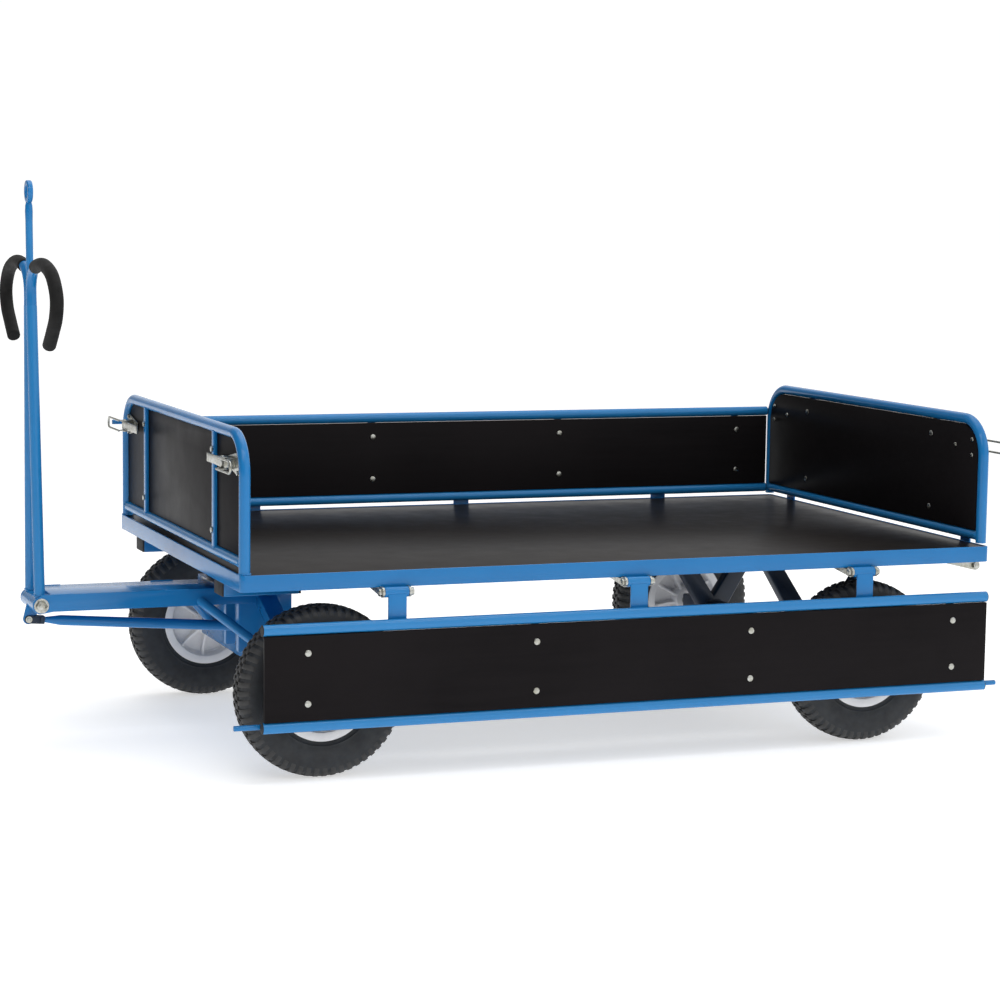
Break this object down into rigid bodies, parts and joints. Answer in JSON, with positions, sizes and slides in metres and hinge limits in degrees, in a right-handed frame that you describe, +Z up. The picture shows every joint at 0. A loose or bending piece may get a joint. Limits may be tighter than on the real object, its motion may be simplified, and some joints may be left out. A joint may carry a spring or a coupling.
{
  "type": "four-wheel hand truck",
  "caption": "Hand-pulled platform truck with turntable steering, brake drawbar with hand loops and tow eye, pneumatic tyres and folding side walls.",
  "frame": {"origin": "on the floor under the centre of the whole truck, on its centre plane", "axes": "+X towards the rear, so the drawbar points to -X; +Y towards the right-hand side; +Z up"},
  "size_m": [2.4205, 1.3303, 1.407],
  "materials": {
    "blue_paint": "powder coat, satin",
    "dark_steel": "dark coated steel",
    "zinc": "zinc plated",
    "deck_plywood": "film-faced plywood, matte dark brown",
    "wall_board": "film-faced board, satin black",
    "tyre": "black rubber",
    "rim": "silver grey lacquer",
    "foam": "closed-cell foam",
    "rubber": "matte"
  },
  "bodies": {
    "chassis": {"deck_frame": "blue_paint", "deck_board": "deck_plywood", "turntable_ring_upper": "dark_steel", "front_wall_frame": "blue_paint", "front_wall_panel": "wall_board", "rear_axle_frame": "dark_steel", "rear_axle_shaft": "zinc", "hinge_bracket_left_1": "zinc", "hinge_bolt_left_1": "zinc", "hinge_bracket_left_2": "zinc", "hinge_bolt_left_2": "zinc", "hinge_bracket_left_3": "zinc", "hinge_bolt_left_3": "zinc", "hinge_bracket_right_1": "zinc", "hinge_bolt_right_1": "zinc", "hinge_bracket_right_2": "zinc", "hinge_bolt_right_2": "zinc", "hinge_bracket_right_3": "zinc", "hinge_bolt_right_3": "zinc", "hinge_bracket_rear_1": "zinc", "hinge_bolt_rear_1": "zinc", "hinge_bracket_rear_2": "zinc", "hinge_bolt_rear_2": "zinc", "latch_base_front_left": "zinc", "latch_bail_front_left": "zinc", "latch_base_front_right": "zinc", "latch_bail_front_right": "zinc"},
    "bogie": {"bogie_frame": "blue_paint", "turntable_ring_lower": "dark_steel", "front_axle_shaft": "zinc", "drawbar_pivot_bolt": "zinc", "drawbar_stop": "rubber"},
    "drawbar": {"drawbar_frame": "blue_paint", "grip_left": "foam", "grip_right": "foam"},
    "pull_rod": {"brake_clevis": "dark_steel", "brake_pull_rod": "blue_paint"},
    "side_wall_left": {"side_wall_frame_left": "blue_paint", "side_wall_panel_left": "wall_board"},
    "side_wall_right": {"side_wall_frame_right": "blue_paint", "side_wall_panel_right": "wall_board"},
    "rear_wall": {"rear_wall_frame": "blue_paint", "rear_wall_panel": "wall_board", "latch_base_rear_left": "zinc", "latch_bail_rear_left": "zinc", "latch_base_rear_right": "zinc", "latch_bail_rear_right": "zinc"},
    "wheel_front_left": {"tyre_front_left": "tyre", "rim_front_left": "rim"},
    "latch_front_left": {"latch_lever_front_left": "zinc"},
    "wheel_front_right": {"tyre_front_right": "tyre", "rim_front_right": "rim"},
    "latch_front_right": {"latch_lever_front_right": "zinc"},
    "wheel_rear_left": {"tyre_rear_left": "tyre", "rim_rear_left": "rim"},
    "latch_rear_left": {"latch_lever_rear_left": "zinc"},
    "wheel_rear_right": {"tyre_rear_right": "tyre", "rim_rear_right": "rim"},
    "latch_rear_right": {"latch_lever_rear_right": "zinc"}
  },
  "joints": [
    {"name": "steering", "type": "hinge", "parent": "chassis", "child": "bogie", "pos_m": [-0.602, 0, 0.4], "axis": [0, 0, 1], "range_deg": [-45, 45]},
    {"name": "drawbar_lift", "type": "hinge", "parent": "bogie", "child": "drawbar", "pos_m": [-1.174, 0, 0.364], "axis": [0, -1, 0], "range_deg": [0, 105], "stiffness_Nm_per_rad": 30, "springref_deg": -20.05},
    {"name": "pull_rod_swing", "type": "hinge", "parent": "drawbar", "child": "pull_rod", "pos_m": [-1.19162, 0, 0.31984], "axis": [0, -1, 0], "range_deg": [-110, 0]},
    {"name": "side_wall_left_fold", "type": "hinge", "parent": "chassis", "child": "side_wall_left", "pos_m": [0.184, -0.6385, 0.45], "axis": [-1, 0, 0], "range_deg": [0, 180]},
    {"name": "side_wall_right_fold", "type": "hinge", "parent": "chassis", "child": "side_wall_right", "pos_m": [0.184, 0.6385, 0.45], "axis": [-1, 0, 0], "range_deg": [0, 180]},
    {"name": "rear_wall_fold", "type": "hinge", "parent": "chassis", "child": "rear_wall", "pos_m": [1.1975, 0, 0.438], "axis": [0, 1, 0], "range_deg": [0, 180]},
    {"name": "wheel_front_left_spin", "type": "hinge", "parent": "bogie", "child": "wheel_front_left", "pos_m": [-0.602, -0.55, 0.208], "axis": [0, 1, 0], "continuous": true},
    {"name": "wheel_front_right_spin", "type": "hinge", "parent": "bogie", "child": "wheel_front_right", "pos_m": [-0.602, 0.55, 0.208], "axis": [0, 1, 0], "continuous": true},
    {"name": "wheel_rear_left_spin", "type": "hinge", "parent": "chassis", "child": "wheel_rear_left", "pos_m": [0.849, -0.55, 0.208], "axis": [0, 1, 0], "continuous": true},
    {"name": "wheel_rear_right_spin", "type": "hinge", "parent": "chassis", "child": "wheel_rear_right", "pos_m": [0.849, 0.55, 0.208], "axis": [0, 1, 0], "continuous": true},
    {"name": "latch_front_left_swing", "type": "hinge", "parent": "chassis", "child": "latch_front_left", "pos_m": [-0.828, -0.512, 0.754], "axis": [0, 0, 1], "range_deg": [0, 120]},
    {"name": "latch_front_right_swing", "type": "hinge", "parent": "chassis", "child": "latch_front_right", "pos_m": [-0.828, 0.512, 0.754], "axis": [0, 0, -1], "range_deg": [0, 120]},
    {"name": "latch_rear_left_swing", "type": "hinge", "parent": "rear_wall", "child": "latch_rear_left", "pos_m": [1.196, -0.512, 0.754], "axis": [0, 0, -1], "range_deg": [0, 120]},
    {"name": "latch_rear_right_swing", "type": "hinge", "parent": "rear_wall", "child": "latch_rear_right", "pos_m": [1.196, 0.512, 0.754], "axis": [0, 0, 1], "range_deg": [0, 120]}
  ],
  "couplings": [
    {"joint": "pull_rod_swing", "follows": "drawbar_lift", "ratio": -1.034}
  ]
}
